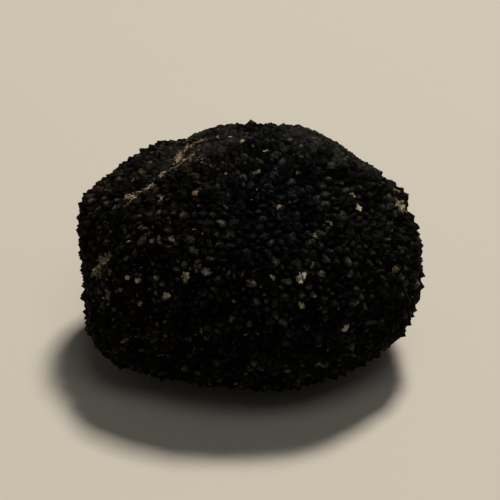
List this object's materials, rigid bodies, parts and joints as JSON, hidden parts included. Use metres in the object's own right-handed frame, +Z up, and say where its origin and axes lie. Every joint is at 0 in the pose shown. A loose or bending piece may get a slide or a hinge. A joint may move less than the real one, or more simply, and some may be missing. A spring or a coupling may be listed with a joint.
{
  "type": "black truffle",
  "caption": "Whole fresh black truffle: a lumpy near-black fungus body with a finely warted skin, soil-filled creases, a fold at the back and a small flat spot to rest on.",
  "frame": {"origin": "middle of the truffle's base, on the plane it rests on", "axes": "+Z up out of the flat spot, +X along the longest extent, +Y from the front to the back, where the fold is"},
  "size_m": [0.054, 0.044, 0.038],
  "materials": {
    "truffle_skin": "matte, finely warted and near black, with pale tan soil in the creases"
  },
  "bodies": {
    "root": {"truffle": "truffle_skin"}
  },
  "joints": []
}
